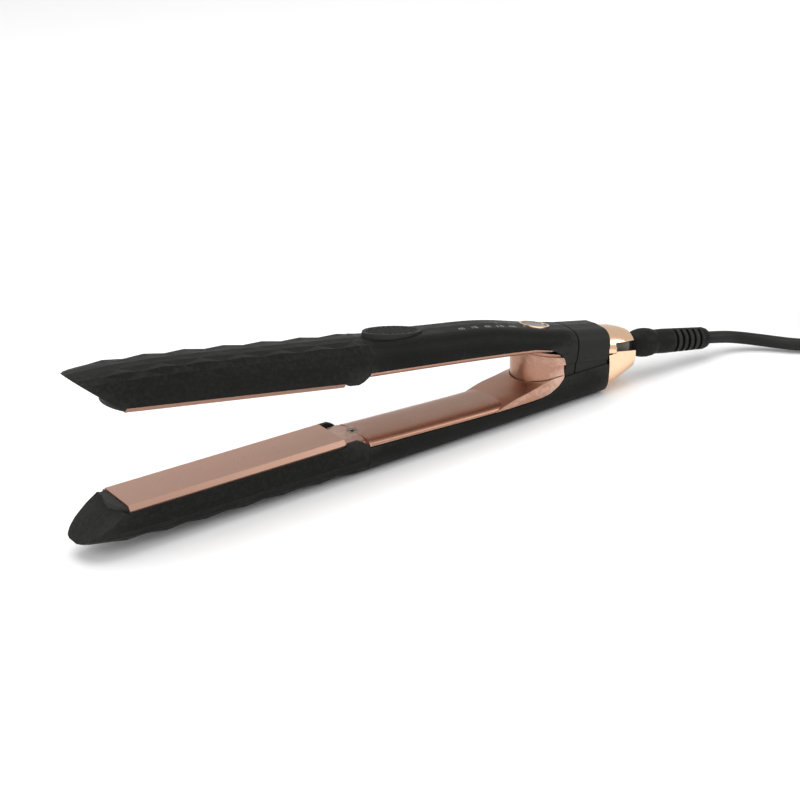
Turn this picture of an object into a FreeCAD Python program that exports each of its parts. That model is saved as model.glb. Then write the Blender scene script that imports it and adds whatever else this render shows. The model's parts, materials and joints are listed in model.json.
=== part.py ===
import FreeCAD, Part
import math
import os

from FreeCAD import Vector

# Flat iron (hair straightener), millimetres.
#
# Both arms are drawn in one "closed" frame, the pose with the plates together:
#   x = 0 is the hinge axis, the tips are towards -x and the cord leaves towards +x,
#   y is across the iron, z = 0 is the plane where the two plates meet.
# The upper arm is then swung open about the hinge, and the whole iron is tilted
# until the strip along the lower arm's belly lies on z = 0 of the part's frame.

# ------------------------------------------------------------------ driving dimensions
OPEN_ANGLE = 9.1            # arms at the open stop, degrees
REST_TILT = 1.0             # tips up when the lower arm lies on its belly strip, degrees
PIVOT_HEIGHT = 2.4          # hinge axis above the plates' meeting plane
BELLY_DROP = 20.55          # hinge axis above the belly strip
ORIGIN_TO_PIVOT = 112.1     # part origin to hinge axis along x

PLATE_FRONT = -267.5
PLATE_REAR = -157.5
PLATE_HALF_WIDTH = 12.9     # over the sloped sides
PLATE_FLAT_HALF = 11.4
PLATE_SLOPE_DROP = 2.3
PLATE_BACK = 3.6            # back of the plate below the meeting plane
PLATE_RECESS = 0.2          # plate face below the meeting plane
PLATE_FLOAT = 0.8           # travel of a floating plate

TIP_X = -290.0
ARM_HALF_WIDTH = 14.6
BAND_HALF_WIDTH = 13.5
WIDEST_DEPTH = 6.0          # where the arm's section is widest
WALL = 1.9
FACET_PITCH = 19.7
FACET_FIRST = -269.0
FACET_COUNT = 13            # half-pitch stations
FACET_RELIEF = 0.42

RIM_AT_PLATE = 3.0
CHEEK_TOP = 1.7
COVER_FRONT = -157.2
COVER_EDGE_FRONT = -145.5
SHELL_SEAM = -23.7          # upper shell meets the hinge cover
BAND_REAR = -3.6
RIM_AT_BAND = 1.9
SKIRT_HALF_WIDTH = 12.4
SKIRT_DEPTH = 7.0
SHELL_REAR_UPPER = SHELL_SEAM - 0.4
COVER_FRONT_UPPER = SHELL_SEAM + 0.4

BOSS_HALF_WIDTH = 12.4        # below the mating line, inside the lower cover
BOSS_WIDE_HALF = 13.7         # above it
MATING_ANGLE = -0.5
SIDE_WALL_INNER = 11.5
BOSS_FRONT = -51.8
BOSS_REAR = -31.0
BOSS_GAP = 0.4
RIM_LIP = 1.1

COLLAR_FRONT = -3.2
COLLAR_REAR = 14.5
COLLAR_WALL = 1.3

PIN_RADIUS = 2.0
PIN_CLEARANCE = 0.05
EAR_RADIUS = 4.2

SWIVEL_START = Vector(2.5, 0, 2.3)   # front of the swivel core on the swivel axis
SWIVEL_DROOP = 8.6                   # degrees below the lower arm's axis
SWIVEL_YAW = 6.0                     # degrees to the side of it
CORE_FRONT = 3.2
CORE_REAR = 12.2
CORE_RADIUS = 6.6
SPIGOT_RADIUS = 4.0
SPIGOT_CLEARANCE = 0.06
RELIEF_LENGTH = 64.3                 # swivel core's front face to the relief's rear end
RELIEF_BODY_RADIUS = 5.7
BALL_RADIUS = 7.4
BALL_HALF_LENGTH = 11.5

CORD_DIAMETER = 6.4

SCREW_X = -146.0
SCREW_HEAD_RADIUS = 2.7
SCREW_SHANK_RADIUS = 1.25

BUTTON_X = -42.5
BUTTON_TILT = 6.5
LENS_FIRST_X = -90.0
LENS_PITCH = 7.7
LENS_COUNT = 5

PIVOT = Vector(0, 0, PIVOT_HEIGHT)
Y_AXIS = Vector(0, 1, 0)


# ------------------------------------------------------------------ placing and writing
def place(shape, upper=False):
    """Move a shape from the closed frame to the part's frame, arms open."""
    placed = shape.copy()
    if upper:
        placed.rotate(PIVOT, Y_AXIS, OPEN_ANGLE)
    placed.rotate(PIVOT, Y_AXIS, REST_TILT)
    placed.translate(Vector(ORIGIN_TO_PIVOT, 0, BELLY_DROP - PIVOT_HEIGHT))
    return placed


def write(name, shape, upper=False, placed=False):
    """Write one sub-part."""
    result = shape if placed else place(shape, upper)
    solids = result.Solids
    result = solids[0] if len(solids) == 1 else Part.makeCompound(solids)
    result.exportStep("parts/%s.step" % name)
    print("%-24s solids %d volume %.1f valid %s" % (name, len(solids), result.Volume, result.isValid()))


def mirrored(shape):
    """Turn an upper-arm shape (z up from the meeting plane) into a lower-arm one."""
    return shape.mirror(Vector(0, 0, 0), Vector(0, 0, 1))


# ------------------------------------------------------------------ small builders
def largest(shape):
    """The main solid of a shape, without slivers left by cutting curved faces."""
    return max(shape.Solids, key=lambda solid: solid.Volume)


def box(x0, x1, y0, y1, z0, z1):
    return Part.makeBox(x1 - x0, y1 - y0, z1 - z0, Vector(x0, y0, z0))


def cylinder(radius, start, end):
    axis = end - start
    return Part.makeCylinder(radius, axis.Length, start, axis)


def polygon_face(points):
    return Part.Face(Part.makePolygon(points + [points[0]]))


def side_prism(outline, half_width):
    """Extrude an (x, z) outline across the iron."""
    face = polygon_face([Vector(x, -half_width, z) for x, z in outline])
    return face.extrude(Vector(0, 2 * half_width, 0))


def bar(outline, x0, x1):
    """Extrude a (y, z) outline along the iron."""
    face = polygon_face([Vector(x0, y, z) for y, z in outline])
    return face.extrude(Vector(x1 - x0, 0, 0))


def oval_prism(length, width, z0, z1):
    """Upright prism with an elliptical outline, centred on the origin."""
    ellipse = Part.Ellipse(Vector(0, 0, z0), length / 2.0, width / 2.0)
    face = Part.Face(Part.Wire([ellipse.toShape()]))
    return face.extrude(Vector(0, 0, z1 - z0))


def stadium_face(front, rear, half_width, z):
    """Face with a round front end and a straight rear end."""
    centre = front + half_width
    start = Vector(rear, -half_width, z)
    near = Vector(centre, -half_width, z)
    nose = Vector(front, 0, z)
    far = Vector(centre, half_width, z)
    end = Vector(rear, half_width, z)
    edges = [Part.makeLine(start, near), Part.Arc(near, nose, far).toShape(),
             Part.makeLine(far, end), Part.makeLine(end, start)]
    return Part.Face(Part.Wire(edges))


def turned(outline):
    """Turn an (along, radius) outline about the x axis."""
    face = polygon_face([Vector(along, 0, radius) for along, radius in outline])
    return face.revolve(Vector(0, 0, 0), Vector(1, 0, 0), 360)


def interpolate(table, x):
    """Straight-line reading of a short profile of (x, value) pairs."""
    if x <= table[0][0]:
        return table[0][1]
    for (x0, v0), (x1, v1) in zip(table, table[1:]):
        if x <= x1:
            return v0 + (v1 - v0) * (x - x0) / (x1 - x0)
    return table[-1][1]


# ------------------------------------------------------------------ arm profiles
HALF_WIDTH_PROFILE = [(-291, 6.0), (-290, 8.4), (-288.2, 10.2), (-285.5, 11.8), (-281.5, 13.1),
                      (-276, 14.1), (-269, ARM_HALF_WIDTH),
                      (-60, ARM_HALF_WIDTH + 0.2), (-24, BAND_HALF_WIDTH), (-3, BAND_HALF_WIDTH - 0.2)]
CROWN_PROFILE = [(-291, 15.0), (-288, 15.6), (-269, 17.9), (-249, 19.0), (-230, 19.4), (-141, 19.6),
                 (-95, 20.3), (-80, 20.4), (-66, 19.7), (-53, 18.2), (-36, 16.2), (-24, 15.2), (-3, 14.5)]
BELLY_PROFILE = [(-291, 14.4), (-288, 15.0), (-269, 17.5), (-249, 18.8), (-230, 19.3), (-190, 19.6),
                 (-160, 20.0), (-150.8, 20.2)]
RIM_PROFILE = [(-145.5, 6.8), (-120, 7.7), (-95, 8.6), (-70, 9.3), (-52, 9.5), (-45, 9.0), (-40, 8.0),
               (-35, 5.6), (-32, 3.0)]
COVER_CROWN_PROFILE = [(-157.2, 2.6), (-145, 2.8), (-128, 3.6), (-111, 4.2), (-82, 5.2), (-60, 5.7),
                       (-28, 5.7)]


def strip_depth(x):
    """Depth of the belly strip below the meeting plane."""
    tilt = math.radians(REST_TILT)
    return (BELLY_DROP - x * math.sin(tilt)) / math.cos(tilt) - PIVOT_HEIGHT


def crown_depth(x):
    return interpolate(CROWN_PROFILE, x)


def belly_depth(x):
    return min(interpolate(BELLY_PROFILE, x), strip_depth(x)) if x < -150.5 else strip_depth(x) + 0.06


def arm_half_width(x):
    return interpolate(HALF_WIDTH_PROFILE, x)


def ring(x, depth, shrink=0.0, reliefs=None, crown_rise=0.0, top=0.0, steps=12):
    """Closed section of an arm at x: widest near its open side, boxy towards its back."""
    half_width = arm_half_width(x) - shrink
    flat = min(5.0 - 0.3 * shrink, 0.45 * half_width)
    deep = depth(x) - shrink
    reliefs = reliefs or [0.0] * (steps + 2)
    half = [(half_width - 0.4, top)]
    for k in range(steps + 1):
        angle = math.pi / 2 * k / steps
        y = flat + (half_width - flat) * abs(math.cos(angle)) ** 0.85 + reliefs[k] * math.cos(angle)
        z = WIDEST_DEPTH + (deep - WIDEST_DEPTH) * math.sin(angle) ** 0.85 + reliefs[k] * math.sin(angle)
        half.append((y, z))
    centre = [(0.0, deep + crown_rise + reliefs[-1])]
    other = [(-y, z) for y, z in reversed(half)]
    return [Vector(x, y, z) for y, z in half + centre + other]


def faceted_solid(rings):
    """Solid skinned with triangles between rings of points; diagonals alternate."""
    faces = [polygon_face(rings[0]), polygon_face(rings[-1])]
    count = len(rings[0])
    for i in range(len(rings) - 1):
        for j in range(count):
            a, b = rings[i][j], rings[i][(j + 1) % count]
            c, d = rings[i + 1][(j + 1) % count], rings[i + 1][j]
            if (i + j) % 2:
                triangles = [(a, b, c), (a, c, d)]
            else:
                triangles = [(a, b, d), (b, c, d)]
            faces += [polygon_face(list(corners)) for corners in triangles]
    solid = Part.Solid(Part.Shell(faces))
    if solid.Volume < 0:
        solid.reverse()
    return solid


TIP_STATIONS = [-291, -290, -288.2, -285.5, -281.5, -276]
FACET_ROWS = (0, 0, -0.35, 1.0, -0.3, 0)       # relief of a peak station's rows, side to middle


def faceted_front(depth, crown_rise):
    """Front half of an arm's outside: round tip, then long diamond facets back to the cheeks."""
    peak = [FACET_RELIEF * row for row in FACET_ROWS]
    valley = [-relief for relief in peak]
    rings = [ring(x, depth, crown_rise=crown_rise, steps=4) for x in TIP_STATIONS]
    rings += [ring(FACET_FIRST + i * FACET_PITCH / 2, depth, reliefs=valley if i % 2 else peak,
                   crown_rise=crown_rise, steps=4) for i in range(FACET_COUNT)]
    rings.append(ring(COVER_EDGE_FRONT, depth, crown_rise=crown_rise, steps=4))
    return faceted_solid(rings)


def smooth_loft(stations, depth, shrink=0.0, crown_rise=0.0, top=0.0, straight=False):
    """Solid through an arm's sections; straight spans keep a cavity from swelling between them."""
    wires = []
    for x in stations:
        points = ring(x, depth, shrink, crown_rise=crown_rise, top=top)
        wires.append(Part.makePolygon(points + [points[0]]))
    return Part.makeLoft(wires, True, straight)


def rim_cutter(upper):
    """Everything on the open side of a shell's edge, as seen from the side."""
    outline = [(TIP_X - 13, 22.6), (-270.2, 2.4), (-268.6, RIM_AT_PLATE),
               (-158.6, RIM_AT_PLATE), (-157.8, 2.1), (-156.4, CHEEK_TOP), (-151.5, CHEEK_TOP),
               (-149.0, 2.9), (-147.0, 4.6)]
    outline += RIM_PROFILE
    if upper:
        outline += [(-30.6, 0.0), (-29.6, -RIM_AT_BAND), (-29.6, -SKIRT_DEPTH), (0, -SKIRT_DEPTH)]
    else:
        outline += [(-30.0, RIM_AT_BAND), (0, RIM_AT_BAND)]
    outline += [(2, -30.0), (TIP_X - 13, -30.0)]
    return side_prism(outline, 30)


CAVITY_STATIONS = [-266, -235, -200, -160, -145, -120, -95, -80, -66, -53, -40, -30, -20]


def plate_seat():
    """Room round a floating plate, wider than the cavity behind it."""
    return box(PLATE_FRONT - 0.5, PLATE_REAR + 0.4, -PLATE_HALF_WIDTH - 0.35, PLATE_HALF_WIDTH + 0.35,
               -2, PLATE_BACK + PLATE_FLOAT + 0.4)


def shell_with_cavity(depth, rear, crown_rise, cavity_rear):
    outside = faceted_front(depth, crown_rise)
    stations = [COVER_EDGE_FRONT, -120, -95, -80, -66, -53, -36, -24]
    if rear > -20:
        stations.append(rear)
    else:
        stations[-1] = rear
    outside = outside.fuse(smooth_loft(stations, depth, crown_rise=crown_rise))
    inside = smooth_loft([x for x in CAVITY_STATIONS if x < cavity_rear] + [cavity_rear], depth, WALL,
                         crown_rise, top=-1.0, straight=True)
    return outside.cut(inside).cut(plate_seat())


# ------------------------------------------------------------------ plates and what drives them
def plate_shape():
    outline = [(-PLATE_HALF_WIDTH, PLATE_BACK), (-PLATE_HALF_WIDTH, PLATE_RECESS + PLATE_SLOPE_DROP),
               (-PLATE_FLAT_HALF, PLATE_RECESS), (PLATE_FLAT_HALF, PLATE_RECESS),
               (PLATE_HALF_WIDTH, PLATE_RECESS + PLATE_SLOPE_DROP), (PLATE_HALF_WIDTH, PLATE_BACK)]
    return bar(outline, PLATE_FRONT, PLATE_REAR)


HEATER_THICKNESS = 2.2
CARRIER_BACK = 7.6
CARRIER_HALF_WIDTH = 11.2


def heater_shape():
    return box(PLATE_FRONT + 12, PLATE_REAR - 10, -6, 6, PLATE_BACK, PLATE_BACK + HEATER_THICKNESS)


def carrier_shape():
    carrier = box(PLATE_FRONT + 3, PLATE_REAR - 2, -CARRIER_HALF_WIDTH, CARRIER_HALF_WIDTH,
                  PLATE_BACK, CARRIER_BACK)
    return carrier.cut(box(PLATE_FRONT + 11.7, PLATE_REAR - 9.7, -6.3, 6.3,
                           PLATE_BACK - 1, PLATE_BACK + HEATER_THICKNESS))


PAD_X = (PLATE_FRONT + 18, PLATE_REAR - 20)
PAD_SEAT = 9.8


def pads_shape():
    return Part.makeCompound([cylinder(3.5, Vector(x, 0, CARRIER_BACK), Vector(x, 0, PAD_SEAT))
                              for x in PAD_X])


def pad_ribs(depth):
    """Ribs across the shell that carry the pads and stop the carrier."""
    ribs = [box(x - 4.5, x + 4.5, -12.5, 12.5, PAD_SEAT, 30) for x in PAD_X]
    inside = smooth_loft([-266, -235, -200, -160, -150], depth, WALL - 0.3, top=-1.0, straight=True)
    return [rib.common(inside) for rib in ribs]


def tip_cap_shape():
    """Rounded block in front of the plate, carried by the shell."""
    rear, front, half_width, top, back = PLATE_FRONT - 0.35, -272.2, 12.4, 0.9, 7.5
    near, nose, far = Vector(rear, -half_width, top), Vector(front, 0, top), Vector(rear, half_width, top)
    face = Part.Face(Part.Wire([Part.Arc(near, nose, far).toShape(), Part.makeLine(far, near)]))
    return face.extrude(Vector(0, 0, back - top))


# ------------------------------------------------------------------ inner covers
def arch(x, half_width, edge, crown):
    """Pillow-shaped curve across the iron: nearly flat in the middle, round at the sides."""
    points = []
    for k in range(17):
        angle = math.pi * k / 16
        y = -half_width * math.copysign(abs(math.cos(angle)) ** 0.75, math.cos(angle))
        points.append(Vector(x, y, edge - (edge - crown) * math.sin(angle) ** 0.75))
    curve = Part.BSplineCurve()
    curve.interpolate(points)
    return curve.toShape()


def cover_section(x, half_width, edge, crown, thickness=1.4):
    """Arched strip across the iron, drawn with z down into the arm."""
    edge = max(edge, crown + 1.2)
    outer = arch(x, half_width, edge, crown)
    inner = arch(x, half_width - 1.2, edge + 0.2, crown + thickness)
    sides = [Part.makeLine(Vector(x, s * half_width, edge), Vector(x, s * (half_width - 1.2), edge + 0.2))
             for s in (-1, 1)]
    return Part.Wire(Part.__sortEdges__([outer, sides[1], inner, sides[0]]))


def cover_half_width(x):
    return arm_half_width(x) - WALL - 0.3


def narrow_station(x):
    """Section that fits between the shell's side walls."""
    crown = interpolate(COVER_CROWN_PROFILE, x)
    edge = crown + 1.6 if x < COVER_EDGE_FRONT - 1 else 7.0
    return cover_section(x, cover_half_width(x), edge, crown)


def wide_station(x):
    """Section that rests on the shell's rim and is flush with its outside."""
    crown = interpolate(COVER_CROWN_PROFILE, x)
    return cover_section(x, arm_half_width(x) - 0.75, interpolate(RIM_PROFILE, x) - 0.35, crown)


def cover_skin(rear):
    """The long arched part of an inner cover, from behind the plate to x = rear."""
    joint = COVER_EDGE_FRONT + 0.3
    front = [narrow_station(x) for x in (COVER_FRONT, COVER_EDGE_FRONT - 1.5)]
    cheek = [narrow_station(x) for x in (COVER_EDGE_FRONT - 1.5, COVER_EDGE_FRONT, joint + 0.5)]
    middle = [wide_station(x) for x in (joint, -128, -111, -95, -80, -65, -50, -40)]
    back = [narrow_station(x) for x in (-40.5, rear)]
    skin = Part.makeLoft(front, True, True)
    for sections in (cheek, middle, back):
        skin = skin.fuse(Part.makeLoft(sections, True, True))
    return skin


def swept_boss(front, half_width, from_angle, to_angle, rear=BOSS_REAR):
    """Plug with a round front that is a body of revolution about the hinge axis."""
    face = stadium_face(front, rear, half_width, 0)
    face.rotate(PIVOT, Y_AXIS, from_angle)
    return face.revolve(PIVOT, Y_AXIS, to_angle - from_angle)


def screw_hole():
    head = Part.makeCone(SCREW_HEAD_RADIUS + 0.05, SCREW_SHANK_RADIUS, 1.6, Vector(SCREW_X, 0, screw_top()))
    shank = cylinder(SCREW_SHANK_RADIUS, Vector(SCREW_X, 0, 0), Vector(SCREW_X, 0, 12))
    above = cylinder(SCREW_HEAD_RADIUS + 0.05, Vector(SCREW_X, 0, 0), Vector(SCREW_X, 0, screw_top()))
    return head.fuse(shank).fuse(above)


def screw_top():
    return interpolate(COVER_CROWN_PROFILE, SCREW_X) + 0.15


def cover_screw():
    """Countersunk screw with a cross recess, drawn with its head towards the open side."""
    head = Part.makeCone(SCREW_HEAD_RADIUS, SCREW_SHANK_RADIUS, 1.6, Vector(SCREW_X, 0, screw_top()))
    shank = cylinder(SCREW_SHANK_RADIUS, Vector(SCREW_X, 0, screw_top() + 1.0), Vector(SCREW_X, 0, 11.5))
    screw = head.fuse(shank)
    for turn in (0, 90):
        slot = Part.makeBox(3.0, 0.7, 1.1, Vector(-1.5, -0.35, 0))
        slot.rotate(Vector(0, 0, 0), Vector(0, 0, 1), turn + 45)
        slot.translate(Vector(SCREW_X, 0, screw_top() - 0.1))
        screw = screw.cut(slot)
    return screw


def screw_post(depth):
    top = interpolate(COVER_CROWN_PROFILE, SCREW_X) + 1.8
    post = cylinder(3.2, Vector(SCREW_X, 0, top), Vector(SCREW_X, 0, 30))
    inside = smooth_loft([-165, -150, -135, -120], depth, WALL - 0.3, top=-1.0)
    bore = cylinder(SCREW_SHANK_RADIUS, Vector(SCREW_X, 0, 0), Vector(SCREW_X, 0, 11.5))
    return post.common(inside).cut(bore)


def upper_cover_shape():
    """Arched strip that ends in the boss: a wide part above the mating line, a narrower one below."""
    boss = swept_boss(BOSS_FRONT, BOSS_HALF_WIDTH, -13.5, 8.0)
    boss = boss.fuse(swept_boss(BOSS_FRONT, BOSS_WIDE_HALF, MATING_ANGLE, 6.0, BOSS_REAR + 0.6))
    shape = cover_skin(BOSS_REAR - 1.5).fuse(boss.cut(shell_walls()))
    hollow = swept_boss(BOSS_FRONT + 1.6, BOSS_HALF_WIDTH - 1.6, -12.0, 12.0, BOSS_REAR - 1.6)
    return largest(shape.cut(hollow).cut(screw_hole()))


def shell_walls():
    """A shell's side walls beside the boss, with a small gap, to be kept clear of."""
    rim = [(x, z - 0.25) for x, z in RIM_PROFILE if x > -100]
    outline = rim + [(-30.4, -1.0), (-20, -1.0), (-20, 30), (rim[0][0], 30)]
    return side_prism(outline, 20).cut(box(-100, -10, -SIDE_WALL_INNER, SIDE_WALL_INNER, -20, 40))


# Levels of the flare round the boss well: depth below the contact plane, and growth outwards.
FLARE_LEVELS = [(RIM_LIP, 0.9), (1.5, 1.5), (2.2, 2.9), (3.1, 5.4), (4.1, 9.5), (5.2, 15.0),
                (6.8, 20.0), (8.8, 25.0)]


def lower_cover_shape():
    """Drawn with z down: arched strip that flares up to a lip round the boss well."""
    wires = [stadium_face(BOSS_FRONT - grow, BOSS_REAR - 0.4, BOSS_HALF_WIDTH + grow, z).OuterWire
             for z, grow in FLARE_LEVELS]
    flare = Part.makeLoft(wires, True, False)
    envelope = smooth_loft([-90, -70, -52, -40, BOSS_REAR], belly_depth, 0.35)
    shape = cover_skin(BOSS_REAR - 0.4).fuse(flare.common(envelope.cut(shell_walls())))
    well = mirrored(swept_boss(BOSS_FRONT - BOSS_GAP, BOSS_HALF_WIDTH + BOSS_GAP, -16.0, 4.0, BOSS_REAR + 8))
    return largest(shape.cut(well).cut(screw_hole()))


# ------------------------------------------------------------------ hinge
def skirt(x0, x1):
    """Side walls below the meeting plane that dip inside the lower shell."""
    walls = box(x0, x1, -SKIRT_HALF_WIDTH, SKIRT_HALF_WIDTH, -SKIRT_DEPTH, 3.0)
    inner = SKIRT_HALF_WIDTH - 1.3
    return walls.cut(box(x0 - 1, x1 + 1, -inner, inner, -SKIRT_DEPTH - 1, 4.0))


def band_taper(x0, x1):
    """What is taken off the band's lower flanks so that they pass inside the lower rim."""
    outline = [(SKIRT_HALF_WIDTH, -20), (SKIRT_HALF_WIDTH, -RIM_AT_BAND + 0.3), (BAND_HALF_WIDTH + 0.3, 4.0),
               (20, 4.0), (20, -20)]
    near = bar(outline, x0, x1)
    return near.fuse(bar([(-y, z) for y, z in outline], x0, x1))


# Collar sections: x, half width, top and bottom.
COLLAR_SECTIONS = [(COLLAR_FRONT, 13.3, 14.3, -17.9), (2.0, 13.1, 13.6, -16.8), (9.0, 12.7, 12.7, -14.6),
                   (COLLAR_REAR, 12.1, 11.4, -12.3)]


def oval_loft(sections, shrink):
    wires = []
    for x, half_width, top, bottom in sections:
        centre = (top + bottom) / 2.0
        half_height = (top - bottom) / 2.0 - shrink
        width = half_width - shrink
        points = []
        for k in range(32):
            angle = 2 * math.pi * k / 32
            c, s = math.cos(angle), math.sin(angle)
            points.append(Vector(x, width * math.copysign(abs(c) ** 0.85, c),
                                 centre + half_height * math.copysign(abs(s) ** 0.85, s)))
        curve = Part.BSplineCurve()
        curve.interpolate(points, PeriodicFlag=True)
        wires.append(Part.Wire([curve.toShape()]))
    return Part.makeLoft(wires, True, False)


def collar_ring():
    """Tapering oval ring behind the hinge band, open at both ends."""
    first, last = COLLAR_SECTIONS[0], COLLAR_SECTIONS[-1]
    hollow = [(COLLAR_FRONT - 1,) + first[1:]] + COLLAR_SECTIONS[1:-1] + [(COLLAR_REAR + 1,) + last[1:]]
    return oval_loft(COLLAR_SECTIONS, 0).cut(oval_loft(hollow, COLLAR_WALL))


UPPER_COLLAR_EDGE = [(-6, PIVOT_HEIGHT + 0.45), (1.6, PIVOT_HEIGHT + 0.45), (1.6, 7.4),
                     (20, 7.4), (20, 30), (-6, 30)]
LOWER_COLLAR_EDGE = [(-6, PIVOT_HEIGHT - 0.15), (1.6, PIVOT_HEIGHT - 0.15), (2.2, 2.9),
                     (20, -0.7), (20, -30), (-6, -30)]


def hinge_ear(x, z, y0, y1, bore_radius, arm_outline):
    """Ear round the hinge axis with an arm drawn as an (x, z) outline."""
    ear = cylinder(EAR_RADIUS, Vector(x, y0, z), Vector(x, y1, z))
    face = polygon_face([Vector(px, y0, pz) for px, pz in arm_outline])
    ear = ear.fuse(face.extrude(Vector(0, y1 - y0, 0)))
    return ear.cut(cylinder(bore_radius, Vector(x, y0 - 1, z), Vector(x, y1 + 1, z)))


def bracket_room(depth):
    """Space inside the hinge band, drawn with z into the arm."""
    band = smooth_loft([-24, -14, -4.2], depth, WALL + 0.05, top=-3.0)
    return band.fuse(box(-24, 6, -12, 12, -3, 5)).fuse(box(-4.4, 6, -12, 12, -3, 12))


def lower_bracket():
    """Floor plate on the belly with two ears that hold the hinge pin."""
    outline = [(-4.2, PIVOT_HEIGHT), (4.2, PIVOT_HEIGHT), (-5.0, -14.8), (-14.0, -14.8)]
    near, far = [hinge_ear(0, PIVOT_HEIGHT, y, y + 1.8, PIN_RADIUS, outline) for y in (-10.3, 8.5)]
    floor = box(-20, -5.0, -10.3, 10.3, -16.4, -14.8)
    room = mirrored(bracket_room(belly_depth)).fuse(box(-5, 6, -12, 12, 0, 8))
    return near.fuse(far).fuse(floor).common(room)


def upper_bracket():
    """Ceiling plate under the crown with two inner ears that turn on the hinge pin."""
    outline = [(-4.2, PIVOT_HEIGHT), (4.2, PIVOT_HEIGHT), (-5.0, 11.4), (-14.0, 11.4)]
    bore = PIN_RADIUS + PIN_CLEARANCE
    near, far = [hinge_ear(0, PIVOT_HEIGHT, y, y + 1.8, bore, outline) for y in (-7.6, 5.8)]
    ceiling = box(-20, -5.0, -9.0, 9.0, 11.4, 12.8)
    return near.fuse(far).fuse(ceiling).common(bracket_room(crown_depth))


def coil_spring(radius, wire_radius, bottom, top, turns):
    """Compression spring standing on the z axis, its wire drawn with eight sides."""
    steps = 20 * turns
    rings = []
    for i in range(steps + 1):
        angle = 2 * math.pi * turns * i / steps
        height = bottom + wire_radius + (top - bottom - 2 * wire_radius) * i / steps
        rings.append([Vector((radius + wire_radius * math.cos(math.pi * k / 4)) * math.cos(angle),
                             (radius + wire_radius * math.cos(math.pi * k / 4)) * math.sin(angle),
                             height + wire_radius * math.sin(math.pi * k / 4)) for k in range(8)])
    return faceted_solid(rings)


# ------------------------------------------------------------------ swivel and strain relief
def swivel_direction():
    droop, yaw = math.radians(SWIVEL_DROOP), math.radians(SWIVEL_YAW)
    return Vector(math.cos(droop) * math.cos(yaw), -math.cos(droop) * math.sin(yaw), -math.sin(droop))


def on_swivel(shape):
    """Move a shape drawn along +x onto the swivel axis."""
    moved = shape.copy()
    moved.Placement = FreeCAD.Placement(SWIVEL_START, FreeCAD.Rotation(Vector(1, 0, 0), swivel_direction()))
    return moved


def swivel_core():
    """Socket that holds the cord's spigot, standing on a foot inside the collar."""
    bore = SPIGOT_RADIUS + SPIGOT_CLEARANCE
    core = turned([(CORE_FRONT, bore), (CORE_FRONT, CORE_RADIUS),
                   (CORE_REAR, CORE_RADIUS), (CORE_REAR, bore)])
    core = on_swivel(core)
    pin_room = cylinder(EAR_RADIUS + 0.5, Vector(0, -11, PIVOT_HEIGHT), Vector(0, 11, PIVOT_HEIGHT))
    foot = box(6.0, 12.0, -5.0, 5.0, -16.0, -2.0).common(oval_loft(COLLAR_SECTIONS, COLLAR_WALL))
    foot = foot.cut(on_swivel(turned([(-5, 0), (-5, bore), (40, bore), (40, 0)])))
    return core.fuse(foot).cut(pin_room)


def strain_relief():
    """Spigot, bulb and ribbed sleeve in one moulding, round about the swivel axis."""
    bulb_centre = 25.1
    outline = [(0.6, 0), (0.6, SPIGOT_RADIUS), (CORE_REAR + 0.5, SPIGOT_RADIUS)]
    for k in range(7):
        angle = math.radians(146 - 15 * k)
        outline.append((bulb_centre + BALL_HALF_LENGTH * math.cos(angle), BALL_RADIUS * math.sin(angle)))
    outline += [(34.0, RELIEF_BODY_RADIUS + 0.5), (37.0, RELIEF_BODY_RADIUS + 0.6),
                (RELIEF_LENGTH - 3.0, RELIEF_BODY_RADIUS), (RELIEF_LENGTH - 0.8, RELIEF_BODY_RADIUS - 0.7),
                (RELIEF_LENGTH, RELIEF_BODY_RADIUS - 2.0), (RELIEF_LENGTH, 0)]
    relief = turned(outline)
    spine = box(-5, 80, -1.2, 1.2, -10, 10)
    for k in range(5):
        along = RELIEF_LENGTH - 7.5 - 3.7 * k
        groove = turned([(along, 4.4), (along - 0.2, 8), (along + 1.7, 8), (along + 1.5, 4.4)])
        relief = relief.cut(groove.cut(spine))
    return on_swivel(relief)


def swivel_retainer():
    """Snap ring on the spigot, in front of the core."""
    return on_swivel(turned([(1.2, SPIGOT_RADIUS), (1.2, 5.1), (2.4, 5.1), (2.4, SPIGOT_RADIUS)]))


# ------------------------------------------------------------------ button, lights and electronics
BOARD_TOP = 12.0
BOARD_X = (-103.0, -27.5)
BUTTON_LENGTH = 14.0
BUTTON_WIDTH = 8.4
BUTTON_GAP = 0.3
BEZEL_LENGTH = 17.0
BEZEL_WIDTH = 11.4
LENS_XS = [LENS_FIRST_X + LENS_PITCH * k for k in range(LENS_COUNT)]


def on_crown(shape):
    """Set a shape drawn about z = 0 on the sloping crown where the button sits."""
    placed = shape.copy()
    placed.rotate(Vector(0, 0, 0), Y_AXIS, BUTTON_TILT)
    placed.translate(Vector(BUTTON_X, 0, crown_depth(BUTTON_X) + 0.3))
    return placed


def button_bezel():
    ring_outside = oval_prism(BEZEL_LENGTH, BEZEL_WIDTH, -2.6, 0.45)
    opening = oval_prism(BUTTON_LENGTH + 2 * BUTTON_GAP, BUTTON_WIDTH + 2 * BUTTON_GAP, -4, 2)
    return on_crown(ring_outside.cut(opening))


def power_button():
    cap = oval_prism(BUTTON_LENGTH, BUTTON_WIDTH, -1.9, 0.25)
    stem = oval_prism(3.0, 3.0, -2.4, -1.8)
    return on_crown(cap.fuse(stem))


def tact_switch():
    top = crown_depth(BUTTON_X) - 3.0
    body = box(BUTTON_X - 3, BUTTON_X + 3, -3, 3, BOARD_TOP, top - 0.6)
    return body.fuse(cylinder(1.6, Vector(BUTTON_X, 0, top - 0.7), Vector(BUTTON_X, 0, top)))


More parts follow.
